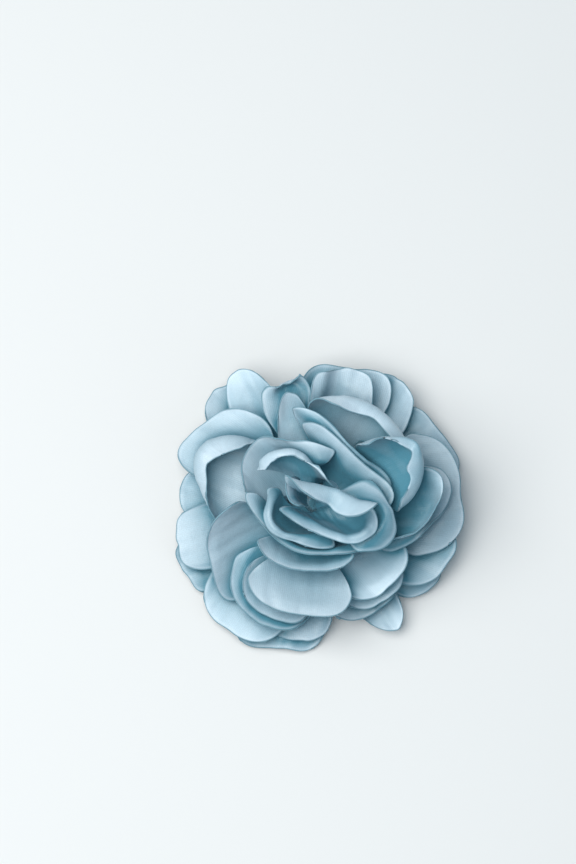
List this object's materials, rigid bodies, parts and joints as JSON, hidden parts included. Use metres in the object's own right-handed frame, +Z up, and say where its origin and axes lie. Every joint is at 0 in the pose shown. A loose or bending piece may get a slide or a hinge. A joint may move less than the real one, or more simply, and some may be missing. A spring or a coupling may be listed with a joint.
{
  "type": "flower shoe clip",
  "caption": "Full fabric flower of layered, curled satin petals on a felt-backed core, with a flat spring clip underneath that slides over a shoe's edge.",
  "frame": {"origin": "centre of the clip's flat underside, on the surface that the flower lies on", "axes": "+Z up out of the flower's face, +X along the clip towards its open mouth, -Y towards the front of the flower as it is seen"},
  "size_m": [0.0874, 0.0863, 0.047],
  "materials": {
    "petal_satin": "soft satin",
    "felt": "matte felt",
    "clip_metal": "nickel plated"
  },
  "bodies": {
    "root": {"backing": "felt", "centre_petal_01": "petal_satin", "centre_petal_02": "petal_satin", "centre_petal_03": "petal_satin", "centre_petal_04": "petal_satin", "centre_petal_05": "petal_satin", "centre_petal_06": "petal_satin", "centre_petal_07": "petal_satin", "centre_petal_08": "petal_satin", "centre_petal_09": "petal_satin", "centre_petal_10": "petal_satin", "centre_petal_11": "petal_satin", "clip": "clip_metal", "middle_petal_01": "petal_satin", "middle_petal_02": "petal_satin", "middle_petal_03": "petal_satin", "middle_petal_04": "petal_satin", "middle_petal_05": "petal_satin", "middle_petal_06": "petal_satin", "middle_petal_07": "petal_satin", "middle_petal_08": "petal_satin", "middle_petal_09": "petal_satin", "middle_petal_10": "petal_satin", "middle_petal_11": "petal_satin", "middle_petal_12": "petal_satin", "middle_petal_13": "petal_satin", "middle_petal_14": "petal_satin", "middle_petal_15": "petal_satin", "middle_petal_16": "petal_satin", "outer_petal_01": "petal_satin", "outer_petal_02": "petal_satin", "outer_petal_03": "petal_satin", "outer_petal_04": "petal_satin", "outer_petal_05": "petal_satin", "outer_petal_06": "petal_satin", "outer_petal_07": "petal_satin", "outer_petal_08": "petal_satin", "outer_petal_09": "petal_satin", "outer_petal_10": "petal_satin", "outer_petal_11": "petal_satin", "outer_petal_12": "petal_satin", "outer_petal_13": "petal_satin", "outer_petal_14": "petal_satin", "outer_petal_15": "petal_satin", "outer_petal_16": "petal_satin"}
  },
  "joints": []
}
